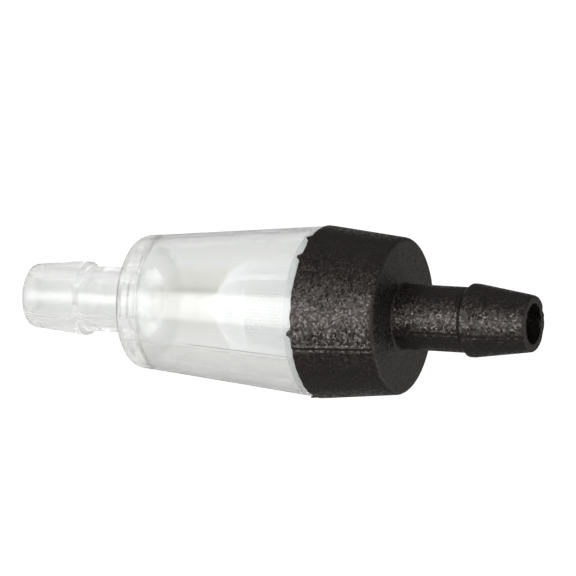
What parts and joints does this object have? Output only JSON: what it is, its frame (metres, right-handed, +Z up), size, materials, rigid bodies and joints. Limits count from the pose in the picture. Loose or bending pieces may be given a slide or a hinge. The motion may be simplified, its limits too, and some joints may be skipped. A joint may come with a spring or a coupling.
{
  "type": "inline fuel filter",
  "caption": "Inline fuel filter: clear tapered housing with a hose barb, welded to a black cap with a second barb, and a nylon gauze screen inside.",
  "frame": {"origin": "on the flow axis, midway between the two barb tips", "axes": "+X along the flow, from the clear inlet barb to the black outlet barb; +Z up; +Y across. The part is turned about X, so +Y and +Z are alike"},
  "size_m": [0.0604, 0.019, 0.019],
  "materials": {
    "clear_plastic": "clear injection-moulded plastic, polished",
    "black_plastic": "black injection-moulded plastic with a fine spark-eroded grain",
    "white_nylon": "natural white moulded nylon",
    "nylon_gauze": "fine woven white nylon monofilament gauze"
  },
  "bodies": {
    "root": {"inlet_housing": "clear_plastic", "outlet_cap": "black_plastic", "screen_frame": "white_nylon", "screen_gauze": "nylon_gauze"}
  },
  "joints": []
}
